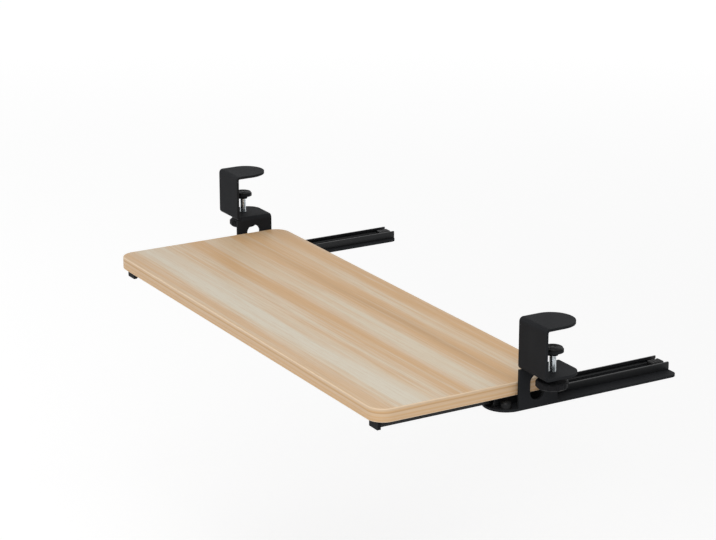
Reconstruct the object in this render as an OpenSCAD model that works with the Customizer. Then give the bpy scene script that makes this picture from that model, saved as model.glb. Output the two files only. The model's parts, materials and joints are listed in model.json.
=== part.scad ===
// Slide-out tray: a board on two ball-bearing slides, hung from two clamps that grip a panel.
// The origin lies on the gripped panel's top front edge, midway between the clamps. +X runs along
// that edge, +Y goes under the panel and +Z is up. The tray is drawn pulled out. Millimetres.

/* [Board] */
// Length of the board, along the gripped panel's edge
board_w = 650; // [500:1:900]
// Depth of the board, front to back
board_d = 240; // [210:1:320]
// Thickness of the board
board_t = 16; // [13:0.5:25]
// Radius of the board's corners
corner_r = 20; // [8:1:40]
// Thickness of the edge band
band_t = 2; // [1:0.1:3]
// Rounding of the edge band's outer edges
band_round = 1.5; // [0.3:0.1:3]
// Distance of the board's back edge behind the gripped panel's front face
board_back = 61; // [50:1:80]

/* [Clamp bracket] */
// Thickness of the bracket's steel
plate_t = 3; // [2:0.5:5]
// Inner radius of the bracket's bends
bend_r = 2; // [0.5:0.5:3]
// Width of the clamp, along the gripped panel's edge
strip_w = 51; // [46:1:80]
// Depth of the jaw and of the plates behind the front plate's outer face
jaw_d = 51; // [44:1:80]
// Height of the throat, from the jaw pad down to the bottom plate
throat_h = 52.5; // [45:0.5:80]
// Drop from the bottom plate's underside to the foot's underside
drop_h = 48; // [42:1:90]
// Radius of the bottom plate's outer rear corner
plate_corner_r = 18; // [2:1:20]
// Gap between the board's edge and the side plate
side_gap = 5; // [2:0.5:15]
// Width of the window in the side plate
window_w = 19; // [10:1:24]
// Height of the plate left above the window
window_above = 8.5; // [5:0.5:14]
// Height of the plate left below the window
window_below = 9; // [5:0.5:14]
// Thickness of the rubber pad under the jaw
jaw_pad_t = 1.5; // [1:0.5:4]
// Margin of the jaw pad inside the jaw's outline
jaw_pad_inset = 2; // [1:0.5:5]

/* [Foot] */
// Reach of the foot in front of the front plate
foot_reach = 26.5; // [18:0.5:40]
// Radius of the foot's front corners
foot_front_r = 25; // [4:1:25]
// Radius of the foot's rear corners
foot_rear_r = 8; // [2:1:20]
// Margin of the foot inboard of the rail
foot_margin = 7; // [4:0.5:12]
// Diameter of the rest buffer
buffer_d = 14; // [8:0.5:14]
// Height of the rest buffer
buffer_h = 8.5; // [4:0.5:10]
// Rounding of the rest buffer's top
buffer_round = 5; // [1:0.2:6]
// Distance of the rest buffer's middle behind the foot's front edge
buffer_back = 16; // [12:0.5:20]
// Diameter of the rest buffer's stem
buffer_stem_d = 6; // [3:0.5:7]

/* [Clamp screw] */
// Thickness of the panel that the clamps grip
desk_t = 25; // [22:0.5:32]
// Diameter of the clamp screw
screw_d = 8; // [6:0.5:10]
// Distance of the clamp screw outboard of the side plate's inner face
screw_out = 30; // [26:0.5:34]
// Distance of the clamp screw behind the gripped panel's front face
screw_back = 21; // [19:0.5:26]
// Outer diameter of the drawn collar round the threaded hole
collar_d = 13; // [11:0.5:16]
// Height of the drawn collar under the bottom plate
collar_h = 2.5; // [1:0.5:4]
// Room for the knob to rise below the collar
knob_room = 4.5; // [3:0.5:10]
// Diameter of the knob
knob_d = 36; // [30:1:42]
// Height of the knob
knob_h = 8.5; // [8:0.5:16]
// Chamfer round the knob's rims
knob_chamfer = 2; // [0.5:0.5:3]
// Thickness of the knob's floor under the screw
knob_floor = 2; // [1:0.5:3]
// Number of grip flutes round the knob
flute_count = 12; // [6:1:16]
// Radius of the grip flutes
flute_r = 3; // [2:0.5:4]
// Depth of the grip flutes
flute_depth = 1.2; // [0.5:0.1:1.5]
// Diameter of the pressure pad
pad_d = 24; // [20:1:36]
// Thickness of the pressure pad's disc
pad_t = 3; // [2:0.5:5]
// Thickness of the pressure pad's disc above the screw's tip
pad_floor = 1.5; // [1:0.1:1.8]
// Diameter of the pressure pad's hub
hub_d = 12; // [11:0.5:18]
// Height of the pressure pad's hub
hub_h = 4; // [3:0.5:8]
// Diameter of the screw's tip inside the hub
tip_d = 6; // [4:0.5:6]
// Thickness of the rubber facing on the pressure pad
facing_t = 2; // [1:0.5:4]
// Margin of the rubber facing inside the pressure pad's rim
facing_margin = 1; // [0.5:0.5:3]
// Chamfer round the rubber facing's top
facing_chamfer = 0.7; // [0.3:0.1:0.9]

/* [Slide] */
// Height of the slide, from the foot up to the board
slide_h = 12.5; // [12:0.5:18]
// Thickness of the rails' sheet steel
rail_t = 1.2; // [1:0.1:1.6]
// Diameter of the balls
ball_d = 4; // [3:0.5:4.5]
// Distance between the two rows of balls
row_spacing = 20; // [18:0.5:26]
// Number of balls in a row
ball_count = 8; // [4:1:10]
// Distance between neighbouring balls
ball_pitch = 9; // [6:0.5:9]
// Thickness of the ball cage's sheet
cage_t = 0.6; // [0.4:0.1:0.8]
// Height of the ball cage's flanges above the balls' middle
cage_rise = 0.5; // [0.3:0.1:0.8]
// Height of the outer rail
rail_h = 9; // [8:0.5:11]
// Radius of the outer rail's lower corners
rail_round = 0.5; // [0.2:0.1:3]
// Radius of the outer rail's upper edges
lip_round = 0.8; // [0.3:0.1:1.1]
// Angle of the outer race round the balls, up and down from level
outer_lip_angle = 60; // [55:1:75]
// Angle of the inner race round the balls, up and down from level
inner_lip_angle = 30; // [20:1:40]
// Gap between the rail and the side plate
rail_gap = 14; // [14:0.5:24]
// Distance of the rail's front end behind the foot's front edge
rail_setback = 5.5; // [1:0.5:8]
// Distance of the inner rail's rear end in front of the board's back edge
rail_rear_inset = 4; // [2:0.5:10]
// Length of the bumper in the rail's rear end
bumper_len = 16; // [8:1:30]
// Height of the bumper
bumper_h = 7; // [5:0.5:9]
// Rounding of the bumper's top edges
bumper_round = 2; // [0.5:0.5:3]
// Diameter of the peg under the bumper
bumper_peg_d = 4; // [2:0.5:6]
// Distance of the bumper in front of the rail's rear end
bumper_inset = 1; // [0:0.5:4]
// Length of the stop ears at the inner rail's rear end
ear_len = 2; // [1:0.5:4]
// Height of the stop ears
ear_h = 2.2; // [1:0.2:2.6]
// Length of the raised stop tab in the outer rail's front end
tab_len = 1.5; // [1:0.5:3]
// Width of the raised stop tab
tab_w = 6; // [3:0.5:10]
// Distance of the raised stop tab behind the outer rail's front end
tab_inset = 1; // [0.5:0.5:3]

/* [Front stop] */
// Width of the front stop
stop_w = 18; // [13:0.5:24]
// Thickness of the front stop
stop_t = 4; // [3:0.5:8]
// Radius of the front stop's lower corners
stop_round = 1; // [0.5:0.5:4]
// Distance of the front stop behind the board's front edge
stop_inset = 8.5; // [6:0.5:20]
// Offset of the front stop outboard of the rail's middle
stop_offset = 2; // [0:0.5:5]
// Thickness of the front stop's tongue under the inner rail
tongue_t = 2; // [1:0.5:3]
// Length of the front stop's tongue
tongue_len = 24; // [20:1:40]

/* [Fasteners] */
// Diameter of the screws that hold the outer rail
rail_screw_d = 4; // [3:0.5:5]
// Width of the outer rail screws' heads beyond the shank, on each side
rail_screw_rim = 1.5; // [1:0.1:2]
// Depth of the outer rail screws' countersunk heads
rail_screw_sink = 1.5; // [1.2:0.1:2]
// Distance of the end rail screws from the rail's front end and from the bumper
rail_screw_inset = 20; // [12:1:40]
// Diameter of the screws that hold the board
tray_screw_d = 3.5; // [3:0.5:4]
// Length of the board screws inside the board
tray_screw_len = 11; // [8:0.5:11]
// Width of the board screws' heads beyond the shank, on each side
tray_screw_rim = 2; // [1:0.1:2.2]
// Height of the board screws' heads
tray_screw_head_h = 2.2; // [1.5:0.1:3]
// Distance of the front board screw before the end of the front stop's tongue
tongue_screw_inset = 8; // [6:1:12]
// Distance of the rear board screw before the inner rail's rear end
tray_screw_inset = 14; // [10:1:30]

/* [Clearance] */
// Gap between the balls and their races
race_gap = 0.3; // [0.2:0.05:0.4]
// Radial gap of a fitted pin in its hole
fit_gap = 0.05; // [0.02:0.01:0.08]
// Gap between the ball cage and the rail's floor
cage_gap = 0.2; // [0.2:0.05:0.4]
// Gap left at the end stops
stop_gap = 1; // [0.5:0.5:2]
// Gap between the front stop and the outer rail when the tray is pushed in
front_gap = 2.5; // [2:0.5:5]
// Gap between the screw's shoulder and the hub
hub_gap = 0.3; // [0.2:0.1:1]
// Gap on each side of the front stop's tongue in the inner rail
tongue_gap = 1; // [0.5:0.5:2]
// Gap between the front plate's lower bend and the side plate's front corner
bend_relief = 0.5; // [0.3:0.1:1]
// Gap between the rest buffer and the outer rail
buffer_gap = 0.3; // [0.2:0.1:1]

/* [Hidden] */
$fn = 64;

PIECES = [
    "clamp_bracket", "jaw_pad", "clamp_screw", "clamp_knob", "pressure_pad", "pad_facing",
    "outer_rail", "rail_screws", "rail_bumper", "rest_buffer", "ball_cage", "balls",
    "inner_rail", "front_stop", "tray_screws"
];
SIDES = ["left", "right"];

steel_black = "#2b2c2e";
zinc = "#b9bfc2";
wood = "#d9bf9c";
wood_edge = "#d2ab82";
rubber_black = "#1d1d1e";
plastic_black = "#222325";

// Run-out of a cut past the face that it opens
cut = 1;

// Bracket
bend_out = bend_r + plate_t;
side_in = board_w / 2 + side_gap;
side_out = side_in + plate_t;
front_y = -plate_t;
rear_y = front_y + jaw_d;
plate_top = -throat_h;
plate_bottom = plate_top - plate_t;
foot_bottom = plate_bottom - drop_h;
foot_top = foot_bottom + plate_t;
jaw_bottom = jaw_pad_t;

// Slide, measured across from the rail's middle and up from the foot
ball_r = ball_d / 2;
ball_side = row_spacing / 2;
race_in = ball_r + race_gap;
race_out = race_in + rail_t;
cage_z = rail_t + cage_gap;
ball_z = cage_z + cage_t + fit_gap + ball_r + fit_gap;
rail_half = ball_side + race_out;
inner_half = ball_side - race_in;
rail_x = side_in - rail_gap - rail_half;

// Places along the slide
foot_front = front_y - foot_reach;
rail_front = foot_front + rail_setback;
board_front = board_back - board_d;
board_mid = (board_front + board_back) / 2;
stop_front = board_front + stop_inset;
inner_front = stop_front + stop_t;
inner_rear = board_back - rail_rear_inset;
travel = rail_front - front_gap - inner_front;
bumper_front = inner_rear + travel + stop_gap;
bumper_mid = bumper_front + bumper_len / 2;
rail_rear = bumper_front + bumper_len + bumper_inset;
tab_front = rail_front + tab_inset;
cage_front = tab_front + tab_len + stop_gap;
cage_rear = inner_rear - ear_len - stop_gap;
cage_len = cage_rear - cage_front;
first_ball = cage_front + (cage_len - (ball_count - 1) * ball_pitch) / 2;

// Rest buffer, beside the rail on the foot's round front end
buffer_x = rail_x + rail_half + buffer_gap + buffer_d / 2;
buffer_y = foot_front + buffer_back;

// Board
board_bottom = foot_top + slide_h;
band_edge = min(band_round, band_t);

// Clamp screw, from the gripped panel's underside down
desk_bottom = -desk_t;
disc_top = desk_bottom - facing_t;
disc_bottom = disc_top - pad_t;
hub_bottom = disc_bottom - hub_h;
socket_top = disc_top - pad_floor;
knob_top = plate_bottom - collar_h - knob_room;
knob_bottom = knob_top - knob_h;
screw_x = side_in + screw_out;
screw_bottom = knob_bottom + knob_floor + fit_gap;

// Fasteners
rail_screw_first = rail_front + rail_screw_inset;
rail_screw_last = bumper_front - rail_screw_inset;
rail_screw_ys = [for (i = [0:2]) rail_screw_first + i * (rail_screw_last - rail_screw_first) / 2];
tray_screw_first = inner_front + tongue_len - tongue_screw_inset;
tray_screw_last = inner_rear - tray_screw_inset;
tray_screw_ys = [for (i = [0:2]) tray_screw_first + i * (tray_screw_last - tray_screw_first) / 2];

// Places its children on the named side; every side piece is drawn for the right
module on_side(side) {
    if (side == "left")
        mirror([1, 0, 0]) children();
    else
        children();
}

// Extrudes an outline in Y and Z along X, from x to x + len
module along_x(x, len) {
    translate([x, 0, 0])
        rotate([90, 0, 90])
            linear_extrude(len) children();
}

// Extrudes a rail's outline, given across and up, from y0 to y1 on the foot
module along_rail(y0, y1) {
    translate([rail_x, y1, foot_top])
        rotate([90, 0, 0])
            linear_extrude(y1 - y0) children();
}

// What a round of radius r takes off a corner at the origin
module corner_cut(r) {
    difference() {
        translate([-cut, -cut]) square(r + cut);
        translate([r, r]) circle(r);
    }
}

// Rectangle from p0 to p1 with its own radius at each corner, counted from p0 the long way round
module rounded_plan(p0, p1, radii) {
    corners = [p0, [p1.x, p0.y], p1, [p0.x, p1.y]];
    difference() {
        translate(p0) square(p1 - p0);
        for (i = [0:3])
            if (radii[i] > 0)
                translate(corners[i]) rotate(90 * i) corner_cut(radii[i]);
    }
}

// Quarter of a bend; start is the angle of its first edge
module quarter_bend(start) {
    intersection() {
        difference() {
            circle(bend_out);
            circle(bend_r);
        }
        rotate(start) square(bend_out + cut);
    }
}

// Part of a ball race, from angle a0 to a1 round the ball
module race(a0, a1) {
    far = 3 * race_out;
    intersection() {
        difference() {
            circle(race_out);
            circle(race_in);
        }
        polygon([[0, 0], for (a = [a0, (a0 + a1) / 2, a1]) far * [cos(a), sin(a)]]);
    }
}

module board_core() {
    half_w = board_w / 2 - band_t;
    r = max(corner_r - band_t, 1);
    pilot_r = tray_screw_d / 2 + fit_gap;
    color(wood)
        difference() {
            translate([0, 0, board_bottom])
                linear_extrude(board_t)
                    rounded_plan(
                        [-half_w, board_front + band_t],
                        [half_w, board_back - band_t],
                        [r, r, r, r]
                    );
            for (side = SIDES)
                on_side(side)
                    for (y = tray_screw_ys)
                        translate([rail_x, y, board_bottom - cut])
                            cylinder(r = pilot_r, h = cut + tray_screw_len + fit_gap);
        }
}

// Outline across the edge band, its outer edges rounded
module band_profile() {
    translate([0, band_edge]) square([band_t, board_t - 2 * band_edge]);
    if (band_t > band_edge)
        square([band_t - band_edge, board_t]);
    for (y = [band_edge, board_t - band_edge])
        intersection() {
            translate([band_t - band_edge, y]) circle(band_edge);
            square([band_t, board_t]);
        }
}

// Straight run of edge band, len long, whose outer face lies at y = half
module band_run(len, half) {
    translate([-len / 2, half - band_t, 0])
        rotate([90, 0, 90])
            linear_extrude(len) band_profile();
}

module edge_band() {
    color(wood_edge)
        translate([0, board_mid, board_bottom]) {
            for (a = [0, 180])
                rotate(a) {
                    band_run(board_w - 2 * corner_r, board_d / 2);
                    rotate(90) band_run(board_d - 2 * corner_r, board_w / 2);
                    for (side = [0, 1])
                        mirror([side, 0, 0])
                            translate([board_w / 2 - corner_r, board_d / 2 - corner_r, 0])
                                rotate_extrude(angle = 90)
                                    translate([corner_r - band_t, 0]) band_profile();
                }
        }
}

// Jaw, front plate and the bends above and below it
module bracket_hook() {
    round_r = strip_w / 2;
    bend_y = front_y + bend_out;
    jaw_top = jaw_bottom + plate_t;
    translate([0, 0, jaw_bottom])
        linear_extrude(plate_t) {
            translate([side_in, bend_y]) square([strip_w, rear_y - round_r - bend_y]);
            intersection() {
                translate([side_in + round_r, rear_y - round_r]) circle(round_r);
                translate([side_in, bend_y]) square([strip_w, jaw_d]);
            }
        }
    along_x(side_in, strip_w) {
        translate([front_y, plate_bottom + bend_out])
            square([plate_t, jaw_top - plate_bottom - 2 * bend_out]);
        translate([bend_y, jaw_top - bend_out]) quarter_bend(90);
        translate([bend_y, plate_bottom + bend_out]) quarter_bend(180);
    }
}

// Bottom plate with its screw collar, and the bend at its inner edge
module bracket_shelf() {
    bend_x = side_in + bend_out;
    bend_y = front_y + bend_out;
    translate([0, 0, plate_bottom])
        linear_extrude(plate_t)
            rounded_plan(
                [bend_x, bend_y], [side_in + strip_w, rear_y], [0, 0, plate_corner_r, 0]
            );
    translate([screw_x, screw_back, plate_bottom - collar_h])
        cylinder(d = collar_d, h = collar_h);
    translate([bend_x, rear_y, plate_top - bend_out])
        rotate([90, 0, 0])
            linear_extrude(rear_y - bend_y) quarter_bend(90);
}

// Side plate; its window lines up with the clamp screw, and its front corner rises to the front plate
module bracket_side() {
    window_r = window_w / 2;
    window_top = plate_bottom - window_above - window_r;
    window_bottom = foot_bottom + window_below + window_r;
    along_x(side_in, plate_t)
        difference() {
            translate([front_y, foot_bottom]) {
                square([jaw_d, plate_top - bend_out - foot_bottom]);
                square([bend_out, plate_bottom - bend_relief - foot_bottom]);
            }
            translate([screw_back - window_r, window_bottom])
                square([window_w, window_top - window_bottom]);
            for (z = [window_top, window_bottom])
                translate([screw_back, z]) circle(window_r);
        }
}

module bracket_foot() {
    translate([0, 0, foot_bottom])
        linear_extrude(plate_t)
            rounded_plan(
                [rail_x - rail_half - foot_margin, foot_front],
                [side_out, rail_rear],
                [foot_front_r, foot_front_r, foot_rear_r, foot_rear_r]
            );
}

module clamp_bracket() {
    color(steel_black)
        difference() {
            union() {
                bracket_hook();
                bracket_shelf();
                bracket_side();
                bracket_foot();
            }
            translate([screw_x, screw_back, plate_bottom - collar_h - cut])
                cylinder(r = screw_d / 2 + fit_gap, h = cut + collar_h + plate_t + cut);
            translate([buffer_x, buffer_y, foot_bottom - cut])
                cylinder(r = buffer_stem_d / 2 + fit_gap, h = cut + plate_t + cut);
            rail_screw_set(fit_gap);
        }
}

module jaw_pad() {
    round_r = strip_w / 2 - jaw_pad_inset;
    start_y = front_y + bend_out;
    end_y = rear_y - jaw_pad_inset;
    color(rubber_black)
        linear_extrude(jaw_pad_t) {
            translate([side_in + jaw_pad_inset, start_y])
                square([2 * round_r, end_y - round_r - start_y]);
            intersection() {
                translate([side_in + strip_w / 2, end_y - round_r]) circle(round_r);
                translate([side_in, start_y]) square([strip_w, jaw_d]);
            }
        }
}

module clamp_screw() {
    shoulder = hub_bottom - hub_gap;
    color(zinc)
        translate([screw_x, screw_back, 0]) {
            translate([0, 0, screw_bottom]) cylinder(d = screw_d, h = shoulder - screw_bottom);
            translate([0, 0, shoulder]) cylinder(d = tip_d, h = socket_top - fit_gap - shoulder);
        }
}

module clamp_knob() {
    r = knob_d / 2;
    rim = r - knob_chamfer;
    color(plastic_black)
        translate([screw_x, screw_back, knob_bottom])
            difference() {
                rotate_extrude()
                    polygon([
                        [0, 0], [rim, 0], [r, knob_chamfer],
                        [r, knob_h - knob_chamfer], [rim, knob_h], [0, knob_h]
                    ]);
                for (i = [0:flute_count - 1])
                    rotate(360 * (i + 0.5) / flute_count)
                        translate([r - flute_depth + flute_r, 0, -cut])
                            cylinder(r = flute_r, h = cut + knob_h + cut);
                translate([0, 0, knob_floor])
                    cylinder(r = screw_d / 2 + fit_gap, h = knob_h);
            }
}

module pressure_pad() {
    color(steel_black)
        translate([screw_x, screw_back, 0])
            difference() {
                union() {
                    translate([0, 0, disc_bottom]) cylinder(d = pad_d, h = pad_t);
                    translate([0, 0, hub_bottom]) cylinder(d = hub_d, h = hub_h);
                }
                translate([0, 0, hub_bottom - cut])
                    cylinder(r = tip_d / 2 + fit_gap, h = cut + socket_top - hub_bottom);
            }
}

module pad_facing() {
    r = pad_d / 2 - facing_margin;
    rim = r - facing_chamfer;
    color(rubber_black)
        translate([screw_x, screw_back, disc_top])
            rotate_extrude()
                polygon([
                    [0, 0], [r, 0], [r, facing_t - facing_chamfer], [rim, facing_t], [0, facing_t]
                ]);
}

// Section of the outer rail: a flat-sided channel with a ball groove along each wall
module outer_section() {
    wall_in = ball_side + race_in * cos(outer_lip_angle);
    difference() {
        rounded_plan(
            [-rail_half, 0], [rail_half, rail_h], [rail_round, rail_round, lip_round, lip_round]
        );
        translate([-wall_in, rail_t]) square([2 * wall_in, rail_h]);
        for (x = [-ball_side, ball_side])
            translate([x, ball_z]) circle(race_in);
    }
}

module outer_rail() {
    color(steel_black) {
        difference() {
            along_rail(rail_front, rail_rear) outer_section();
            rail_screw_set(fit_gap);
            translate([rail_x, bumper_mid, foot_top - cut])
                cylinder(r = bumper_peg_d / 2 + fit_gap, h = cut + rail_t + cut);
        }
        along_rail(tab_front, tab_front + tab_len)
            translate([-tab_w / 2, rail_t]) square([tab_w, cage_gap + cage_t]);
    }
}

// Countersunk screws through the outer rail's floor into the foot, made larger by gap
module rail_screw_set(gap) {
    r = rail_screw_d / 2 + gap;
    head_top = foot_top + rail_t;
    for (y = rail_screw_ys)
        translate([rail_x, y, 0]) {
            translate([0, 0, foot_bottom - gap]) cylinder(r = r, h = gap + plate_t + rail_t);
            translate([0, 0, head_top - rail_screw_sink])
                cylinder(r1 = r, r2 = r + rail_screw_rim, h = rail_screw_sink);
        }
}

module rail_screws() {
    color(zinc) rail_screw_set(0);
}

module rail_bumper() {
    half = inner_half - rail_t;
    color(rubber_black) {
        along_rail(bumper_front, bumper_front + bumper_len)
            rounded_plan(
                [-half, rail_t], [half, rail_t + bumper_h], [0, 0, bumper_round, bumper_round]
            );
        translate([rail_x, bumper_mid, foot_top]) cylinder(d = bumper_peg_d, h = rail_t);
    }
}

module rest_buffer() {
    r = buffer_d / 2;
    crown = min(buffer_round, r, buffer_h);
    color(rubber_black)
        translate([buffer_x, buffer_y, foot_top]) {
            rotate_extrude() {
                square([r, buffer_h - crown]);
                translate([0, buffer_h - crown])
                    intersection() {
                        square([r, crown]);
                        union() {
                            square([r - crown, crown]);
                            translate([r - crown, 0]) circle(crown);
                        }
                    }
            }
            translate([0, 0, -plate_t]) cylinder(d = buffer_stem_d, h = plate_t);
        }
}

// Section of the ball cage: a web under the inner rail and a flange through each row of balls
module cage_section() {
    half = ball_side + cage_t / 2;
    inside = half - cage_t;
    top = ball_z + cage_rise;
    web_top = cage_z + cage_t;
    polygon([
        [-half, cage_z], [half, cage_z], [half, top], [inside, top],
        [inside, web_top], [-inside, web_top], [-inside, top], [-half, top]
    ]);
}

module ball_cage() {
    pocket_r = ball_r + fit_gap;
    color(zinc)
        difference() {
            along_rail(cage_front, cage_rear) cage_section();
            for (i = [0:ball_count - 1])
                translate([rail_x - rail_half, first_ball + i * ball_pitch, foot_top + ball_z])
                    rotate([0, 90, 0]) cylinder(r = pocket_r, h = 2 * rail_half);
        }
}

module balls() {
    color("silver")
        for (x = [rail_x - ball_side, rail_x + ball_side])
            for (i = [0:ball_count - 1])
                translate([x, first_ball + i * ball_pitch, foot_top + ball_z]) sphere(r = ball_r);
}

// Section of the inner rail: a top under the board and two legs that hook round the balls
module inner_section() {
    translate([-inner_half, slide_h - rail_t]) square([2 * inner_half, rail_t]);
    for (side = [0, 1])
        mirror([side, 0]) {
            translate([inner_half - rail_t, ball_z]) square([rail_t, slide_h - ball_z]);
            translate([ball_side, ball_z]) race(180 - inner_lip_angle, 180 + inner_lip_angle);
        }
}

// Inner rail; an ear beside each leg at its rear end stops the ball cage
module inner_rail() {
    ear_in = inner_half - rail_t / 2;
    ear_out = ball_side + cage_t / 2;
    color(steel_black)
        difference() {
            union() {
                along_rail(inner_front, inner_rear) inner_section();
                along_rail(inner_rear - ear_len, inner_rear)
                    for (side = [0, 1])
                        mirror([side, 0])
                            translate([ear_in, ball_z - ear_h / 2]) square([ear_out - ear_in, ear_h]);
            }
            for (y = tray_screw_ys)
                translate([rail_x, y, board_bottom - rail_t - cut])
                    cylinder(r = tray_screw_d / 2 + fit_gap, h = cut + rail_t + cut);
        }
}

// Front stop: a block that meets the outer rail, on a tongue screwed up inside the inner rail
module front_stop() {
    tongue_half = inner_half - rail_t - tongue_gap;
    tongue_bottom = board_bottom - rail_t - tongue_t;
    color(plastic_black) {
        along_rail(stop_front, inner_front)
            rounded_plan(
                [stop_offset - stop_w / 2, stop_gap],
                [stop_offset + stop_w / 2, slide_h],
                [stop_round, stop_round, 0, 0]
            );
        difference() {
            translate([rail_x - tongue_half, inner_front, tongue_bottom])
                cube([2 * tongue_half, tongue_len, tongue_t]);
            translate([rail_x, tray_screw_first, tongue_bottom - cut])
                cylinder(r = tray_screw_d / 2 + fit_gap, h = cut + tongue_t + cut);
        }
    }
}

// Pan-head screws into the board; the first also holds the front stop's tongue
module tray_screws() {
    color(zinc)
        for (y = tray_screw_ys) {
            seat = board_bottom - rail_t - (y == tray_screw_first ? tongue_t : 0);
            translate([rail_x, y, seat]) {
                translate([0, 0, -tray_screw_head_h])
                    cylinder(r = tray_screw_d / 2 + tray_screw_rim, h = tray_screw_head_h);
                cylinder(d = tray_screw_d, h = board_bottom + tray_screw_len - seat);
            }
        }
}

board_core();
edge_band();
for (side = SIDES)
    on_side(side) {
        clamp_bracket();
        jaw_pad();
        clamp_screw();
        clamp_knob();
        pressure_pad();
        pad_facing();
        outer_rail();
        rail_screws();
        rail_bumper();
        rest_buffer();
        ball_cage();
        balls();
        inner_rail();
        front_stop();
        tray_screws();
    }
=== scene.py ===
"""Looks of the slide-out tray: finishes, threads, rubber parts, light and camera. Metres."""

import json
import math

import bmesh
import bpy
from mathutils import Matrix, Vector
from mathutils.geometry import tessellate_polygon


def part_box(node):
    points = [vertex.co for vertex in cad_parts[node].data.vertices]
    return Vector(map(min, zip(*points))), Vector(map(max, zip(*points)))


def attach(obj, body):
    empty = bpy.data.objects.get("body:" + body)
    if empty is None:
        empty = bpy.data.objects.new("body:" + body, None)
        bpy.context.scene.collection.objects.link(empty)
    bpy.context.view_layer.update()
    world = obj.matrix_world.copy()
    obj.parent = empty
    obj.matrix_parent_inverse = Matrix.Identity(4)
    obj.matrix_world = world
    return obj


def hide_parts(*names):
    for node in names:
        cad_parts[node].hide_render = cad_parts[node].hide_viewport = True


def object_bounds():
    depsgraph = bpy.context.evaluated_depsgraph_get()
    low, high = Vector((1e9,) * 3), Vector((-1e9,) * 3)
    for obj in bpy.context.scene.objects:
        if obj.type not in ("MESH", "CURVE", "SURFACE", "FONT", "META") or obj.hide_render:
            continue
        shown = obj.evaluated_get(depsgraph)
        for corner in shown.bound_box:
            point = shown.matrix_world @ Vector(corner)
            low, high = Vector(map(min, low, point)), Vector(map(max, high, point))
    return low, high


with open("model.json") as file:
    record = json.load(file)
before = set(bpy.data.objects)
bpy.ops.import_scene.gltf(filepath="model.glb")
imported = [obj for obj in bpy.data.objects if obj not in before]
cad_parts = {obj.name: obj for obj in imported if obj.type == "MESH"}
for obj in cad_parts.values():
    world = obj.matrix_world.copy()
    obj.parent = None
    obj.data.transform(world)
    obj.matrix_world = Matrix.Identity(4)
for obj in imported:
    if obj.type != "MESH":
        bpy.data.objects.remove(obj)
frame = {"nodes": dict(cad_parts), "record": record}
cad_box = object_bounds()

MM = 0.001
SIDES = ("left", "right")
WHITE = (1, 1, 1, 1)

# Camera, fitted to the edges of the board and of the clamps; angles in degrees, sensor in mm
IMAGE_W_PX = 716
FOCAL_PX = 2266.6
SENSOR_W = 36
CAMERA_AT = Vector((2.2379, -1.3209, 0.7892))
CAMERA_AZIMUTH = 59.6616
CAMERA_ELEVATION = 17.5652
CAMERA_REACH = 100

# Studio; the floor glows more from near to far, so that it is white far off and keeps the shadow
FLOOR_Z = -0.75
FLOOR_SIZE = 40
FLOOR_COLOUR = (0.92, 0.92, 0.92, 1)
FLOOR_ROUGHNESS = 0.9
FLOOR_NEAR = 1.2
FLOOR_FAR = 5.0
GLOW_NEAR = 0.23
GLOW_FAR = 0.42
DOME_STRENGTH = 0.62
BACKDROP_STRENGTH = 1.0
KEY_AT = Vector((1.9, -1.5, 1.9))
KEY_SIZE = 2.2
KEY_WATTS = 44
FILL_AT = Vector((-2.2, -1.5, 1.2))
FILL_SIZE = 2.6
FILL_WATTS = 12

# Fineness of round shapes; faces that meet at more than the sharp angle, in degrees, keep a crisp edge
ROUND_STEPS = 48
HALF_STEPS = ROUND_STEPS // 2
CROWN_STEPS = 10
RIB_STEPS = 8
CORNER_STEPS = 6
SHARP_ANGLE = 35
WELD_DISTANCE = 0.001 * MM

# Clamp screw, M8 coarse; the runout is the share of the ridge's height that is left at its ends
THREAD_PITCH = 1.25 * MM
THREAD_DEPTH = 0.68 * MM
THREAD_FLANK = 0.44 * THREAD_PITCH
THREAD_CREST = 0.08 * THREAD_PITCH
THREAD_SUNK = 0.05 * MM
THREAD_RUNOUT = 0.02
THREAD_STEPS = 36
TIP_R = 3.0 * MM
SHOULDER_GAP = 0.3 * MM
SCREW_CHAMFER = 0.6 * MM

# Small screws; the shares say how far the cross recess narrows down to its floor
SCREWS_IN_ROW = 3
RAIL_SHANK_R = 2.0 * MM
RAIL_SINK = 1.5 * MM
TRAY_SHANK_R = 1.75 * MM
TRAY_HEAD_H = 2.2 * MM
TRAY_POINT_H = 2.0 * MM
TONGUE_T = 2.0 * MM
RECESS_ARM = 1.9 * MM
RECESS_W = 0.75 * MM
RECESS_DEPTH = 1.1 * MM
RECESS_ARM_SHARE = 0.6
RECESS_W_SHARE = 0.7


def srgb(red, green, blue):
    """A colour given in 0 to 255 as the linear colour that a shader takes."""
    def linear(value):
        share = value / 255
        return share / 12.92 if share <= 0.04045 else ((share + 0.055) / 1.055) ** 2.4
    return (linear(red), linear(green), linear(blue), 1.0)


# Wood print, pale to dark, and the painted pale highlight along the board's rounded edges
PALE = srgb(210, 201, 183)
CREAM = srgb(209, 195, 172)
BEIGE = srgb(209, 189, 162)
TAN = srgb(206, 178, 146)
HONEY = srgb(201, 163, 119)
BROWN = srgb(184, 147, 104)
ARRIS_HIGHLIGHT = srgb(224, 200, 171)

# Powder coat, rail coat, plastic and rubber; the edge tones are painted highlights
COAT_DARK = srgb(26, 27, 29)
COAT_PALE = srgb(32, 33, 35)
COAT_PEEL = srgb(44, 46, 49)
COAT_EDGE_HIGHLIGHT = srgb(66, 68, 72)
RAIL_DARK = srgb(16, 17, 18)
RAIL_PALE = srgb(30, 31, 33)
RAIL_EDGE_HIGHLIGHT = srgb(72, 74, 77)
PLASTIC_DARK = srgb(16, 16, 18)
PLASTIC_PALE = srgb(23, 23, 25)
PLASTIC_EDGE_HIGHLIGHT = srgb(60, 60, 63)
RUBBER_DARK = srgb(9, 9, 10)
RUBBER_PALE = srgb(18, 18, 19)

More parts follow.
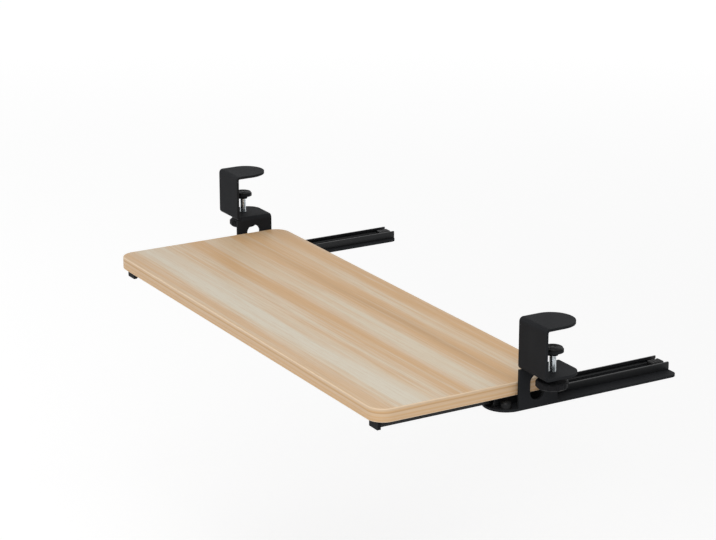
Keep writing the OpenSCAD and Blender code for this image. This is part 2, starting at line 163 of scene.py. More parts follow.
# Bare metals
ZINC_DARK = srgb(188, 194, 198)
ZINC_PALE = srgb(222, 226, 228)
CAGE_DARK = srgb(166, 168, 168)
CAGE_PALE = srgb(196, 197, 194)
BALL_DARK = srgb(208, 211, 214)
BALL_PALE = srgb(226, 228, 230)

# Bands of the wood print across the board, as shares of its depth from the front, and how far they sway
BAND_STOPS = (
    (0.00, BEIGE), (0.03, TAN), (0.08, TAN), (0.10, BEIGE), (0.13, PALE), (0.26, PALE),
    (0.30, BEIGE), (0.33, TAN), (0.36, BEIGE), (0.40, TAN), (0.44, HONEY), (0.48, HONEY),
    (0.52, TAN), (0.56, CREAM), (0.63, CREAM), (0.68, TAN), (0.70, HONEY), (0.75, BROWN),
    (0.79, HONEY), (0.83, BEIGE), (0.88, BEIGE), (0.92, HONEY), (0.97, HONEY), (1.00, TAN),
)
BAND_SWAY = 12 * MM
BAND_RIPPLE = 9 * MM

# How strong the streaks are across the board: weaker in its two palest bands
STREAK_STOPS = (
    (0.10, 1.0), (0.15, 0.4), (0.26, 0.4), (0.31, 1.0),
    (0.51, 1.0), (0.56, 0.5), (0.62, 0.5), (0.67, 1.0),
)

# Bands of the edge band, from its lower to its upper edge, and how far they wander
EDGE_STOPS = (
    (0.00, TAN), (0.14, HONEY), (0.26, TAN), (0.38, HONEY), (0.50, TAN),
    (0.62, TAN), (0.70, BROWN), (0.76, HONEY), (0.84, TAN), (1.00, BEIGE),
)
EDGE_WANDER = 1.5 * MM


class Finish:
    """One procedural material, with short ways to add and join its nodes."""

    BEVEL_SAMPLES = 6
    BEVEL_MASK = ((0.02, 0.0), (0.2, 1.0))
    MIX_COLOURS = (6, 7)
    MIX_RESULT = 2

    def __init__(self, name):
        self.material = bpy.data.materials.new(name)
        self.material.use_nodes = True
        self.tree = self.material.node_tree
        self.shader = self.tree.nodes["Principled BSDF"]
        self.coords = self.add("TexCoord").outputs["Object"]

    def add(self, kind):
        """Adds a shader node of a kind."""
        return self.tree.nodes.new("ShaderNode" + kind)

    def set(self, **values):
        """Sets the shader's own sockets; an underscore in a name stands for a space."""
        for name, value in values.items():
            self.shader.inputs[name.replace("_", " ")].default_value = value

    def drive(self, name, socket):
        """Joins a node's output to one of the shader's sockets."""
        self.tree.links.new(socket, self.shader.inputs[name])

    def feed(self, socket, value):
        """Gives a socket a plain value, or joins it to another node's output."""
        if isinstance(value, bpy.types.NodeSocket):
            self.tree.links.new(value, socket)
        else:
            socket.default_value = value

    def math(self, operation, first, second=0.0):
        """Sum, product or other operation on one or two values."""
        node = self.add("Math")
        node.operation = operation
        self.feed(node.inputs[0], first)
        self.feed(node.inputs[1], second)
        return node.outputs[0]

    def axes(self, vector=None):
        """X, Y and Z of a vector, or of the place on the part."""
        node = self.add("SeparateXYZ")
        self.feed(node.inputs[0], vector or self.coords)
        return node.outputs

    def normal(self):
        """The surface's own normal."""
        return self.add("NewGeometry").outputs["Normal"]

    def noise(self, stretch, detail=3.0, roughness=0.5):
        """Noise with the given number of cycles a metre along X, Y and Z."""
        mapping = self.add("Mapping")
        self.feed(mapping.inputs["Vector"], self.coords)
        mapping.inputs["Scale"].default_value = stretch
        node = self.add("TexNoise")
        self.feed(node.inputs["Vector"], mapping.outputs[0])
        node.inputs["Scale"].default_value = 1.0
        node.inputs["Detail"].default_value = detail
        node.inputs["Roughness"].default_value = roughness
        return node.outputs["Fac"]

    def ramp(self, value, stops):
        """Colour ramp; stops are pairs of a place from 0 to 1 and a colour or a grey."""
        node = self.add("ValToRGB")
        elements = node.color_ramp.elements
        while len(elements) < len(stops):
            elements.new(1.0)
        for element, (place, colour) in zip(elements, stops):
            element.position = place
            element.color = colour if isinstance(colour, tuple) else (colour, colour, colour, 1.0)
        self.feed(node.inputs[0], value)
        return node.outputs["Color"]

    def spread(self, value, low, high, start=0.0, end=1.0):
        """A value that goes from start to end, spread over low to high."""
        node = self.add("MapRange")
        self.feed(node.inputs["Value"], value)
        node.inputs["From Min"].default_value = start
        node.inputs["From Max"].default_value = end
        node.inputs["To Min"].default_value = low
        node.inputs["To Max"].default_value = high
        return node.outputs[0]

    def mix(self, factor, first, second):
        """Mix of two colours, by a factor from 0 to 1."""
        node = self.add("Mix")
        node.data_type = "RGBA"
        self.feed(node.inputs["Factor"], factor)
        for place, colour in zip(self.MIX_COLOURS, (first, second)):
            self.feed(node.inputs[place], colour)
        return node.outputs[self.MIX_RESULT]

    def tint(self, colour, value, stops, tone):
        """Lays a tone over a colour, as strongly as the stops say for a value."""
        return self.mix(self.ramp(value, stops), colour, tone)

    def edges(self, radius):
        """A normal that rounds the edges, and a mask that is 1 on them."""
        bevel = self.add("Bevel")
        bevel.samples = self.BEVEL_SAMPLES
        bevel.inputs["Radius"].default_value = radius
        rounded = bevel.outputs[0]
        dot = self.add("VectorMath")
        dot.operation = "DOT_PRODUCT"
        self.feed(dot.inputs[0], rounded)
        self.feed(dot.inputs[1], self.normal())
        mask = self.ramp(self.math("SUBTRACT", 1.0, dot.outputs["Value"]), self.BEVEL_MASK)
        return rounded, mask

    def bump(self, height, distance, strength, normal=None):
        """Raises the surface by a height from 0 to 1 times a distance."""
        node = self.add("Bump")
        node.inputs["Strength"].default_value = strength
        node.inputs["Distance"].default_value = distance
        self.feed(node.inputs["Height"], height)
        if normal is not None:
            self.feed(node.inputs["Normal"], normal)
        self.drive("Normal", node.outputs[0])


def print_places(finish):
    """How far along and across the board a point lies, as shares, with a slow sway across."""
    low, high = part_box("edge_band")
    x, y, _ = finish.axes()
    sway = finish.spread(finish.noise((1.6, 5.0, 4.0), detail=1.0), -BAND_SWAY, BAND_SWAY)
    ripple = finish.spread(finish.noise((6.0, 45.0, 4.0), detail=2.0), -BAND_RIPPLE, BAND_RIPPLE)
    back = finish.math("ADD", finish.math("SUBTRACT", y, low.y), finish.math("ADD", sway, ripple))
    across = finish.math("DIVIDE", back, high.y - low.y)
    along = finish.math("DIVIDE", finish.math("SUBTRACT", x, low.x), high.x - low.x)
    return along, across


def laminate_colour(finish):
    """Colour of the board's wood-look print, with bands, streaks, pores and a painted shade at the left
    front, and its fine streaks alone.
    """
    along, across = print_places(finish)
    colour = finish.ramp(across, BAND_STOPS)

    # The left rear is warmer, and the left front is a little darker with painted shade
    warm_along = finish.ramp(along, [(0.0, 0.75), (0.55, 0.0)])
    warm_across = finish.ramp(across, [(0.40, 0.0), (0.60, 0.7), (0.80, 1.0), (0.95, 0.6)])
    colour = finish.mix(finish.math("MULTIPLY", warm_along, warm_across), colour, HONEY)
    painted_shade_along = finish.ramp(along, [(0.0, 0.17), (0.35, 0.0)])
    painted_shade_across = finish.ramp(across, [(0.40, 1.0), (0.60, 0.0)])
    colour = finish.mix(finish.math("MULTIPLY", painted_shade_along, painted_shade_across), colour, BROWN)

    # Streaks along the grain, broad to fine, then pores
    broad = finish.noise((2.2, 60.0, 60.0), detail=3.0, roughness=0.5)
    medium = finish.noise((4.5, 240.0, 240.0), detail=3.0, roughness=0.55)
    fine = finish.noise((12.0, 800.0, 800.0), detail=3.0, roughness=0.6)
    pores = finish.noise((45.0, 2200.0, 2200.0), detail=1.0)
    lively = finish.ramp(across, STREAK_STOPS)
    colour = finish.tint(colour, broad, [(0.50, 0.0), (0.68, 0.45)], HONEY)
    colour = finish.tint(colour, broad, [(0.32, 0.4), (0.48, 0.0)], PALE)
    streaks = finish.math("MULTIPLY", lively, finish.ramp(medium, [(0.50, 0.0), (0.66, 0.48)]))
    colour = finish.mix(streaks, colour, HONEY)
    colour = finish.tint(colour, medium, [(0.34, 0.25), (0.47, 0.0)], PALE)
    threads = finish.math("MULTIPLY", lively, finish.ramp(fine, [(0.47, 0.0), (0.70, 0.4)]))
    colour = finish.mix(threads, colour, BROWN)
    colour = finish.tint(colour, pores, [(0.60, 0.0), (0.70, 0.3)], BROWN)
    return colour, fine


def laminate_finish():
    """Satin laminate on the board's two faces."""
    finish = Finish("laminate")
    colour, fine = laminate_colour(finish)
    finish.drive("Base Color", colour)
    finish.drive("Roughness", finish.spread(fine, 0.42, 0.58))
    finish.bump(fine, 0.06 * MM, 0.5)
    finish.set(Specular_IOR_Level=0.35)
    return finish.material


def edge_band_finish():
    """Edge band: streaks that run round the board, a painted pale highlight along both rounded edges."""
    finish = Finish("edge_band")
    low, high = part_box("edge_band")
    z = finish.axes()[2]
    wander = finish.spread(finish.noise((5.0, 5.0, 90.0), detail=2.0), -EDGE_WANDER, EDGE_WANDER)
    height = finish.math("SUBTRACT", finish.math("ADD", z, wander), low.z)
    colour = finish.ramp(finish.math("DIVIDE", height, high.z - low.z), EDGE_STOPS)
    medium = finish.noise((7.0, 7.0, 700.0), detail=4.0, roughness=0.6)
    fine = finish.noise((22.0, 22.0, 2400.0), detail=2.0)
    colour = finish.tint(colour, medium, [(0.50, 0.0), (0.68, 0.6)], HONEY)
    colour = finish.tint(colour, medium, [(0.30, 0.3), (0.45, 0.0)], BEIGE)
    colour = finish.tint(colour, fine, [(0.50, 0.0), (0.74, 0.3)], BROWN)

    # The rounded edges get a painted pale highlight, and where they lie flat the board's print goes on
    tilt = finish.math("ABSOLUTE", finish.axes(finish.normal())[2])
    face, _ = laminate_colour(finish)
    colour = finish.tint(colour, tilt, [(0.15, 0.0), (0.4, 0.8)], ARRIS_HIGHLIGHT)
    colour = finish.tint(colour, tilt, [(0.8, 0.0), (0.95, 1.0)], face)
    finish.drive("Base Color", colour)
    finish.drive("Roughness", finish.spread(fine, 0.42, 0.56))
    finish.bump(fine, 0.05 * MM, 0.5)
    finish.set(Specular_IOR_Level=0.35)
    return finish.material


def powder_finish():
    """Matt black powder coat: fine orange peel, with a little painted highlight on the edges."""
    finish = Finish("powder_coat")
    peel = finish.noise((1500.0, 1500.0, 1500.0), detail=2.0)
    cloud = finish.noise((28.0, 28.0, 28.0), detail=3.0)
    normal, edge = finish.edges(0.5 * MM)
    colour = finish.tint(COAT_DARK, cloud, [(0.3, 0.0), (0.7, 1.0)], COAT_PALE)
    colour = finish.tint(colour, peel, [(0.55, 0.0), (0.8, 0.5)], COAT_PEEL)
    # Painted highlight along the edges
    colour = finish.mix(finish.math("MULTIPLY", edge, 0.35), colour, COAT_EDGE_HIGHLIGHT)
    finish.drive("Base Color", colour)
    finish.drive("Roughness", finish.spread(peel, 0.54, 0.72))
    finish.bump(peel, 0.05 * MM, 0.45, normal)
    finish.set(Specular_IOR_Level=0.06)
    return finish.material


def rail_finish():
    """Satin black coat on drawn sheet, with faint lines along the rail, thin oil smears and a painted
    highlight on the edges.
    """
    finish = Finish("rail_black")
    drawn = finish.noise((2500.0, 14.0, 2500.0), detail=3.0)
    smear = finish.noise((120.0, 20.0, 120.0), detail=3.0)
    normal, edge = finish.edges(0.3 * MM)
    colour = finish.tint(RAIL_DARK, drawn, [(0.35, 0.0), (0.75, 1.0)], RAIL_PALE)
    # Painted highlight along the edges
    colour = finish.mix(finish.math("MULTIPLY", edge, 0.25), colour, RAIL_EDGE_HIGHLIGHT)
    finish.drive("Base Color", colour)
    finish.drive("Roughness", finish.spread(smear, 0.28, 0.5))
    finish.bump(drawn, 0.02 * MM, 0.5, normal)
    finish.set(Specular_IOR_Level=0.28, Metallic=0.15)
    return finish.material


def metal_finish(name, rough_low, rough_high, dark, pale):
    """Zinc plate or bare steel: a cool metal with faint clouds and fine turning marks."""
    finish = Finish(name)
    cloud = finish.noise((180.0, 180.0, 180.0), detail=3.0)
    marks = finish.noise((900.0, 900.0, 5200.0), detail=2.0)
    finish.drive("Base Color", finish.tint(dark, cloud, [(0.3, 0.0), (0.7, 1.0)], pale))
    finish.drive("Roughness", finish.spread(marks, rough_low, rough_high))
    finish.bump(marks, 0.015 * MM, 0.4)
    finish.set(Metallic=1.0)
    return finish.material


def plastic_finish():
    """Black moulded plastic with a fine spark grain, rubbed patches and a faint painted highlight on the
    edges.
    """
    finish = Finish("black_plastic")
    grain = finish.noise((2600.0, 2600.0, 2600.0), detail=2.0)
    rub = finish.noise((60.0, 60.0, 60.0), detail=3.0)
    normal, edge = finish.edges(0.4 * MM)
    colour = finish.tint(PLASTIC_DARK, rub, [(0.3, 0.0), (0.7, 1.0)], PLASTIC_PALE)
    # Painted highlight along the edges
    colour = finish.mix(finish.math("MULTIPLY", edge, 0.12), colour, PLASTIC_EDGE_HIGHLIGHT)
    finish.drive("Base Color", colour)
    finish.drive("Roughness", finish.spread(rub, 0.5, 0.66))
    finish.bump(grain, 0.04 * MM, 0.4, normal)
    finish.set(Specular_IOR_Level=0.1)
    return finish.material


def rubber_finish():
    """Black rubber with a soft sheen and a dusty bloom."""
    finish = Finish("rubber")
    bloom = finish.noise((90.0, 90.0, 90.0), detail=4.0, roughness=0.6)
    skin = finish.noise((1900.0, 1900.0, 1900.0), detail=2.0)
    finish.drive("Base Color", finish.tint(RUBBER_DARK, bloom, [(0.4, 0.0), (0.75, 1.0)], RUBBER_PALE))
    finish.drive("Roughness", finish.spread(bloom, 0.4, 0.6))
    finish.bump(skin, 0.04 * MM, 0.3)
    finish.set(Specular_IOR_Level=0.2)
    return finish.material


FINISHES = {
    "laminate": laminate_finish(),
    "edge_band": edge_band_finish(),
    "powder_coat": powder_finish(),
    "rail_black": rail_finish(),
    "zinc_steel": metal_finish("zinc_steel", 0.18, 0.34, ZINC_DARK, ZINC_PALE),
    "cage_steel": metal_finish("cage_steel", 0.28, 0.46, CAGE_DARK, CAGE_PALE),
    "ball_steel": metal_finish("ball_steel", 0.06, 0.12, BALL_DARK, BALL_PALE),
    "black_plastic": plastic_finish(),
    "rubber": rubber_finish(),
}


def dress_nodes():
    """Gives every CAD node the finish of its slot in the record."""
    for row in frame["record"]["subparts"]:
        materials = frame["nodes"][row["node"]].data.materials
        materials.clear()
        materials.append(FINISHES[row["material_slot"]])


def new_piece(name, mesh, body, slot, node):
    """Makes a mesh a piece that rides on a body, wears a slot's finish and stands for a CAD node."""
    data = bpy.data.meshes.new(name)
    mesh.normal_update()
    mesh.to_mesh(data)
    mesh.free()
    data.materials.append(FINISHES[slot])
    data.shade_smooth()
    data.set_sharp_from_angle(angle=math.radians(SHARP_ANGLE))
    piece = bpy.data.objects.new(name, data)
    bpy.context.scene.collection.objects.link(piece)
    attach(piece, body)
    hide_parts(node)


def around(centre, radius, angle, height):
    """Point at a radius and an angle round the upright line through centre."""
    return (centre.x + radius * math.cos(angle), centre.y + radius * math.sin(angle), height)


def add_ring(mesh, centre, radius, height):
    """Ring of points round the upright line through centre, or one point where the radius is 0."""
    count = ROUND_STEPS if radius else 1
    angles = [2 * math.pi * i / ROUND_STEPS for i in range(count)]
    return [mesh.verts.new(around(centre, radius, angle, height)) for angle in angles]


def join_rings(mesh, lower, upper):
    """Joins two rings of points with a band of faces; a ring of one point makes a cap."""
    count = max(len(lower), len(upper))
    for i in range(count):
        j = (i + 1) % count
        if len(lower) == 1:
            mesh.faces.new((lower[0], upper[j], upper[i]))
        elif len(upper) == 1:
            mesh.faces.new((lower[i], lower[j], upper[0]))
        else:
            mesh.faces.new((lower[i], lower[j], upper[j], upper[i]))


def add_revolved(mesh, centre, profile):
    """Turns a profile of (radius, height) points round the upright line through centre."""
    rings = [add_ring(mesh, centre, radius, height) for radius, height in profile]
    for lower, upper in zip(rings, rings[1:]):
        join_rings(mesh, lower, upper)


def arc_points(middle, radius, start, end, count):
    """Points of an arc round middle, from angle start to end in degrees."""
    points = []
    for i in range(count + 1):
        angle = math.radians(start + (end - start) * i / count)
        points.append((middle[0] + radius * math.cos(angle), middle[1] + radius * math.sin(angle)))
    return points


def close_up(mesh):
    """Joins points that lie together and turns all faces outward."""
    bmesh.ops.remove_doubles(mesh, verts=mesh.verts, dist=WELD_DISTANCE)
    bmesh.ops.recalc_face_normals(mesh, faces=mesh.faces)


def add_helix_ridge(mesh, centre, low, high, root):
    """Winds a thread ridge round a core of radius root, thinning to almost nothing at both ends."""
    count = int((high - low) / THREAD_PITCH * THREAD_STEPS)
    foot = root - THREAD_SUNK
    rings = []
    for i in range(count + 1):
        angle = 2 * math.pi * i / THREAD_STEPS
        height = low + THREAD_PITCH * i / THREAD_STEPS
        fade = min(1.0, i / THREAD_STEPS, (count - i) / THREAD_STEPS)
        top = foot + (THREAD_DEPTH + THREAD_SUNK) * max(fade, THREAD_RUNOUT)
        section = ((foot, -THREAD_FLANK), (top, -THREAD_CREST), (top, THREAD_CREST), (foot, THREAD_FLANK))
        rings.append([
            mesh.verts.new(around(centre, radius, angle, height + offset)) for radius, offset in section
        ])
    for near, far in zip(rings, rings[1:]):
        for i in range(len(near)):
            j = (i + 1) % len(near)
            mesh.faces.new((near[i], far[i], far[j], near[j]))
    mesh.faces.new(rings[0])
    mesh.faces.new(list(reversed(rings[-1])))


def clamp_screw(side):
    """Threaded clamp screw with a plain tip that sits in the pressure pad's hub."""
    low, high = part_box(f"{side}_clamp_screw")
    centre = (low + high) / 2
    root = (high.x - low.x) / 2 - THREAD_DEPTH
    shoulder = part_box(f"{side}_pressure_pad")[0].z - SHOULDER_GAP
    mesh = bmesh.new()
    add_revolved(mesh, centre, [
        (0, low.z), (root - SCREW_CHAMFER, low.z), (root, low.z + SCREW_CHAMFER),
        (root, shoulder - SCREW_CHAMFER), (root - SCREW_CHAMFER, shoulder), (TIP_R, shoulder),
        (TIP_R, high.z - SCREW_CHAMFER), (TIP_R - SCREW_CHAMFER, high.z), (0, high.z),
    ])
    add_helix_ridge(mesh, centre, low.z + THREAD_PITCH, shoulder - THREAD_PITCH, root)
    new_piece(f"{side}_threaded_screw", mesh, f"{side}_screw", "zinc_steel", f"{side}_clamp_screw")


def rest_buffer(side):
    """Rubber dome on the foot, with a thin flange, drawn through the foot by its stem."""
    low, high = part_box(f"{side}_rest_buffer")
    centre = (low + high) / 2
    radius = (high.x - low.x) / 2
    foot_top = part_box(f"{side}_outer_rail")[0].z
    stem_r = 3.0 * MM
    lip = 0.8 * MM
    crown_r = 4.6 * MM
    dome_r = radius - lip
    profile = [(0, low.z), (stem_r - lip, low.z), (stem_r, low.z + lip), (stem_r, foot_top)]
    profile += arc_points((radius - lip / 2, foot_top + lip / 2), lip / 2, -90, 90, CORNER_STEPS)
    profile += [(dome_r, foot_top + lip)]
    profile += arc_points((dome_r - crown_r, high.z - crown_r), crown_r, 0, 90, CROWN_STEPS)
    profile += [(0, high.z)]
    mesh = bmesh.new()
    add_revolved(mesh, centre, profile)
    new_piece(f"{side}_rubber_buffer", mesh, "frame", "rubber", f"{side}_rest_buffer")


def pad_facing(side):
    """Rubber disc with round grip rings on its top."""
    low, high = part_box(f"{side}_pad_facing")
    centre = (low + high) / 2
    radius = (high.x - low.x) / 2
    round_r = 0.6 * MM
    groove_h = 0.5 * MM
    groove_pitch = 2.0 * MM
    flank = groove_pitch / 4
    profile = [(0, low.z), (radius, low.z)]
    profile += arc_points((radius - round_r, high.z - round_r), round_r, 0, 90, CORNER_STEPS)
    ring = radius - 2 * round_r
    while ring > groove_pitch:
        profile += [(ring, high.z), (ring - flank, high.z - groove_h)]
        profile += [(ring - 2 * flank, high.z - groove_h), (ring - 3 * flank, high.z)]
        ring -= groove_pitch
    profile += [(0, high.z)]
    mesh = bmesh.new()
    add_revolved(mesh, centre, profile)
    new_piece(f"{side}_grip_facing", mesh, f"{side}_pad", "rubber", f"{side}_pad_facing")


def jaw_outline(low, high, inset):
    """Plan of the jaw pad, square at the front and half round at the back."""
    left, right = low.x + inset, high.x - inset
    radius = (right - left) / 2
    middle = Vector(((left + right) / 2, high.y - inset - radius))
    points = [Vector((left, low.y + inset)), Vector((right, low.y + inset))]
    for i in range(HALF_STEPS + 1):
        angle = math.pi * i / HALF_STEPS
        points.append(middle + radius * Vector((math.cos(angle), math.sin(angle))))
    return points


def add_rib(mesh, x, start, end, bottom, width, height):
    """Half-round rib along Y, hung under a sheet and sunk a little into it."""
    sunk = 0.1 * MM
    root = bottom + height + sunk
    ends = []
    for y in (start, end):
        ring = []
        for i in range(RIB_STEPS + 1):
            angle = math.pi * i / RIB_STEPS
            across = x + width / 2 * math.cos(angle)
            ring.append(mesh.verts.new((across, y, root - (height + sunk) * math.sin(angle))))
        ends.append(ring)
    near, far = ends
    for i in range(RIB_STEPS):
        mesh.faces.new((near[i], near[i + 1], far[i + 1], far[i]))
    mesh.faces.new((near[0], far[0], far[-1], near[-1]))
    mesh.faces.new(list(reversed(near)))
    mesh.faces.new(far)


def add_jaw_ribs(mesh, low, high, rib_h):
    """Straight grip ribs under the jaw pad, as many as fit in its plan."""
    rib_w = 1.6 * MM
    rib_pitch = 3.6 * MM
    front_gap = 2.0 * MM
    rear_gap = 2.5 * MM
    radius = (high.x - low.x) / 2
    middle_x = (low.x + high.x) / 2
    turn_y = high.y - radius
    count = int((2 * radius - rib_pitch) / rib_pitch)
    for i in range(count):
        x = middle_x + (i - (count - 1) / 2) * rib_pitch
        reach = math.sqrt(max(radius ** 2 - (x - middle_x) ** 2, 0)) - rear_gap
        add_rib(mesh, x, low.y + front_gap, turn_y + reach, low.z, rib_w, rib_h)


def jaw_pad(side):
    """Rubber sheet under the jaw with rounded rims and straight grip ribs on its underside."""
    low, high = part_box(f"{side}_jaw_pad")
    rib_h = 0.4 * MM
    rim = 0.4 * MM
    mesh = bmesh.new()
    loops = []
    for inset, height in ((rim, low.z + rib_h), (0.0, low.z + rib_h + rim), (0.0, high.z)):
        loops.append([mesh.verts.new((*point, height)) for point in jaw_outline(low, high, inset)])
    for lower, upper in zip(loops, loops[1:]):
        join_rings(mesh, lower, upper)
    mesh.faces.new(list(reversed(loops[0])))
    mesh.faces.new(loops[-1])
    add_jaw_ribs(mesh, low, high, rib_h)
    new_piece(f"{side}_ribbed_jaw_pad", mesh, "frame", "rubber", f"{side}_jaw_pad")


def add_cross(mesh, centre, arm, width, height):
    """Ring of points round a cross with arms of the given reach and width."""
    half = width / 2
    points = []
    for turn in range(4):
        angle = math.pi / 2 * turn
        for x, y in ((arm, -half), (arm, half), (half, half)):
            turned_x = x * math.cos(angle) - y * math.sin(angle)
            turned_y = x * math.sin(angle) + y * math.cos(angle)
            points.append(mesh.verts.new((centre.x + turned_x, centre.y + turned_y, height)))
    return points


def add_cross_top(mesh, centre, radius, top, inward):
    """Round flat top with a cross recess; inward is +1 for a recess that goes up, -1 for down."""
    rim = add_ring(mesh, centre, radius, top)
    mouth = add_cross(mesh, centre, RECESS_ARM, RECESS_W, top)
    floor_arm = RECESS_ARM_SHARE * RECESS_ARM
    floor_w = RECESS_W_SHARE * RECESS_W
    floor = add_cross(mesh, centre, floor_arm, floor_w, top + inward * RECESS_DEPTH)
    flat = rim + mouth
    for triangle in tessellate_polygon([[v.co for v in rim], [v.co for v in mouth]]):
        mesh.faces.new([flat[i] for i in triangle])
    join_rings(mesh, mouth, floor)
    mesh.faces.new(floor)


def screw_places(node):
    """Middles of a node's row of screws, front to back, the node's two corners and the heads' radius."""
    low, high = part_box(node)
    radius = (high.x - low.x) / 2
    first, last = low.y + radius, high.y - radius
    middle_x = (low.x + high.x) / 2
    gaps = SCREWS_IN_ROW - 1
    places = [Vector((middle_x, first + i * (last - first) / gaps, 0)) for i in range(SCREWS_IN_ROW)]
    return places, low, high, radius


def rail_screws(side):
    """Countersunk screws with cross recesses, flush in the outer rail's floor."""
    node = f"{side}_rail_screws"
    places, low, high, radius = screw_places(node)
    end = 0.5 * MM
    rim = 0.1 * MM
    flat = radius - 2 * rim
    mesh = bmesh.new()
    for place in places:
        add_revolved(mesh, place, [
            (0, low.z), (RAIL_SHANK_R - end, low.z), (RAIL_SHANK_R, low.z + end),
            (RAIL_SHANK_R, high.z - RAIL_SINK), (radius - rim, high.z - rim), (flat, high.z),
        ])
        add_cross_top(mesh, place, flat, high.z, -1)
    close_up(mesh)
    new_piece(f"{side}_countersunk_screws", mesh, "frame", "zinc_steel", node)


def tray_screws(side):
    """Pan-head screws with cross recesses, driven up into the board; the front one holds the stop too."""
    node = f"{side}_tray_screws"
    places, low, high, radius = screw_places(node)
    crown_r = 1.2 * MM
    flat = radius - crown_r
    mesh = bmesh.new()
    for i, place in enumerate(places):
        head = low.z + (TONGUE_T if i else 0)
        seat = head + TRAY_HEAD_H
        add_cross_top(mesh, place, flat, head, 1)
        profile = arc_points((flat, head + crown_r), crown_r, -90, 0, CORNER_STEPS)
        profile += [(radius, seat), (TRAY_SHANK_R, seat)]
        profile += [(TRAY_SHANK_R, high.z - TRAY_POINT_H), (0, high.z)]
        add_revolved(mesh, place, profile)
    close_up(mesh)
    new_piece(f"{side}_pan_head_screws", mesh, "tray", "zinc_steel", node)


def add_bumper_ring(mesh, low, high, y, inset):
    """Ring of points round the bumper's section at y, with rounded upper corners."""
    corner_r = 2.0 * MM
    left, right = low.x + inset, high.x - inset
    bottom, top = low.z, high.z - inset
    points = [(left, bottom), (right, bottom)]
    points += arc_points((right - corner_r, top - corner_r), corner_r, 0, 90, CORNER_STEPS)
    points += arc_points((left + corner_r, top - corner_r), corner_r, 90, 180, CORNER_STEPS)
    return [mesh.verts.new((x, y, z)) for x, z in points]


def rail_bumper(side):
    """Ribbed rubber bumper in the rail's rear end, held by its peg."""
    low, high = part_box(f"{side}_rail_bumper")
    low.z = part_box(f"{side}_rail_screws")[1].z
    ribs = 4
    groove_h = 0.9 * MM
    ease_h = 0.15 * MM
    floor_l = 0.6 * MM
    rise_l = 0.6 * MM
    ease_l = 0.36 * MM
    pitch = (high.y - low.y) / ribs
    stations = []
    for i in range(ribs):
        start = low.y + i * pitch
        end = start + pitch
        rise = start + floor_l + rise_l
        stations += [(start, groove_h), (start + floor_l, groove_h), (rise, ease_h), (rise + ease_l, 0.0)]
        stations += [(end - rise_l - ease_l, 0.0), (end - rise_l, ease_h), (end, groove_h)]
    mesh = bmesh.new()
    rings = [add_bumper_ring(mesh, low, high, y, inset) for y, inset in stations]
    for near, far in zip(rings, rings[1:]):
        join_rings(mesh, near, far)
    mesh.faces.new(rings[0])
    mesh.faces.new(rings[-1])
    close_up(mesh)
    new_piece(f"{side}_ribbed_bumper", mesh, "frame", "rubber", f"{side}_rail_bumper")


def put(name, data, at, direction):
    """Puts a camera or a lamp in the scene, facing a direction."""
    thing = bpy.data.objects.new(name, data)
    bpy.context.scene.collection.objects.link(thing)
    thing.location = at
    thing.rotation_mode = "QUATERNION"
    thing.rotation_quaternion = direction.to_track_quat("-Z", "Y")
    return thing


def camera():
    """The scene's camera, at the place and angle given at the top."""
    data = bpy.data.cameras.new("camera")
    data.sensor_width = SENSOR_W
    data.lens = FOCAL_PX / IMAGE_W_PX * SENSOR_W
    data.clip_end = CAMERA_REACH
    azimuth = math.radians(CAMERA_AZIMUTH)
    elevation = math.radians(CAMERA_ELEVATION)
    back = Vector((
        math.sin(azimuth) * math.cos(elevation),
        -math.cos(azimuth) * math.cos(elevation),
        math.sin(elevation),
    ))
    bpy.context.scene.camera = put("camera", data, CAMERA_AT, -back)


def soft_light(name, at, size, watts):
    """Round soft lamp that faces the middle of the part."""
    data = bpy.data.lights.new(name, "AREA")
    data.shape = "DISK"
    data.size = size
    data.energy = watts
    middle = (cad_box[0] + cad_box[1]) / 2
    put(name, data, at, middle - at)


def seen_rays(tree):
    """1 for what the camera sees straight on, in gloss or through glass."""
    path = tree.nodes.new("ShaderNodeLightPath")
    seen = path.outputs["Is Camera Ray"]
    for name in ("Is Glossy Ray", "Is Transmission Ray"):
        node = tree.nodes.new("ShaderNodeMath")
        node.operation = "MAXIMUM"
        tree.links.new(seen, node.inputs[0])
        tree.links.new(path.outputs[name], node.inputs[1])
        seen = node.outputs[0]
    return seen


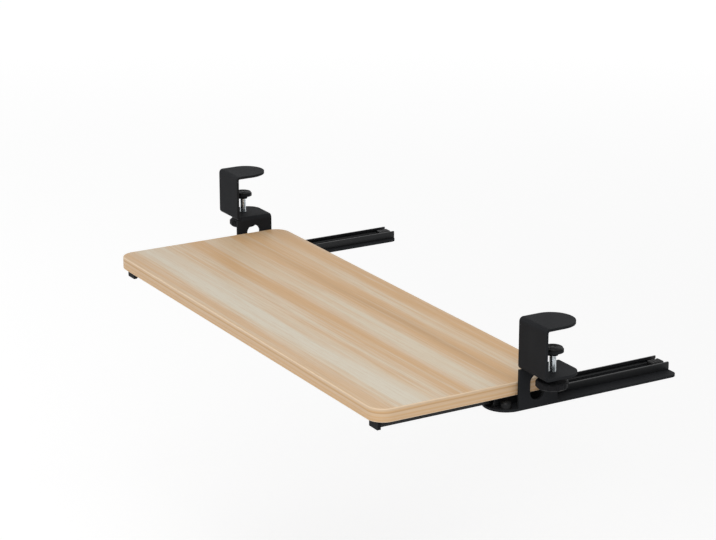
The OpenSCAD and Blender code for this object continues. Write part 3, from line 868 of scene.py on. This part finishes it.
def white_world():
    """White dome that lights the part softly, and shows as plain white."""
    world = bpy.data.worlds.new("studio")
    bpy.context.scene.world = world
    world.use_nodes = True
    tree = world.node_tree
    dome = tree.nodes["Background"]
    dome.inputs["Color"].default_value = WHITE
    dome.inputs["Strength"].default_value = DOME_STRENGTH
    shown = tree.nodes.new("ShaderNodeBackground")
    shown.inputs["Color"].default_value = WHITE
    shown.inputs["Strength"].default_value = BACKDROP_STRENGTH
    mix = tree.nodes.new("ShaderNodeMixShader")
    tree.links.new(seen_rays(tree), mix.inputs[0])
    tree.links.new(dome.outputs[0], mix.inputs[1])
    tree.links.new(shown.outputs[0], mix.inputs[2])
    tree.links.new(mix.outputs[0], tree.nodes["World Output"].inputs["Surface"])


def floor_finish():
    """Pale matt floor with a glow that is seen but lights nothing matt; clear from below."""
    finish = Finish("floor")
    finish.set(Base_Color=FLOOR_COLOUR, Roughness=FLOOR_ROUGHNESS, Specular_IOR_Level=0.0)
    finish.set(Emission_Color=WHITE)
    away = finish.add("VectorMath")
    away.operation = "LENGTH"
    finish.feed(away.inputs[0], finish.coords)
    glow = finish.spread(away.outputs["Value"], GLOW_NEAR, GLOW_FAR, FLOOR_NEAR, FLOOR_FAR)
    finish.drive("Emission Strength", finish.math("MULTIPLY", seen_rays(finish.tree), glow))
    mix = finish.add("MixShader")
    finish.feed(mix.inputs[0], finish.add("NewGeometry").outputs["Backfacing"])
    finish.feed(mix.inputs[1], finish.shader.outputs[0])
    finish.feed(mix.inputs[2], finish.add("BsdfTransparent").outputs[0])
    finish.feed(finish.tree.nodes["Material Output"].inputs["Surface"], mix.outputs[0])
    return finish.material


def pale_floor():
    """Wide pale floor, well below the part."""
    mesh = bmesh.new()
    bmesh.ops.create_grid(mesh, x_segments=1, y_segments=1, size=FLOOR_SIZE / 2)
    data = bpy.data.meshes.new("floor")
    mesh.to_mesh(data)
    mesh.free()
    data.materials.append(floor_finish())
    floor = bpy.data.objects.new("floor", data)
    floor.location = (0, 0, FLOOR_Z)
    bpy.context.scene.collection.objects.link(floor)


dress_nodes()
for side in SIDES:
    clamp_screw(side)
    rest_buffer(side)
    pad_facing(side)
    jaw_pad(side)
    rail_screws(side)
    tray_screws(side)
    rail_bumper(side)
camera()
soft_light("key", KEY_AT, KEY_SIZE, KEY_WATTS)
soft_light("fill", FILL_AT, FILL_SIZE, FILL_WATTS)
white_world()
pale_floor()
bpy.context.scene.view_settings.view_transform = "Standard"
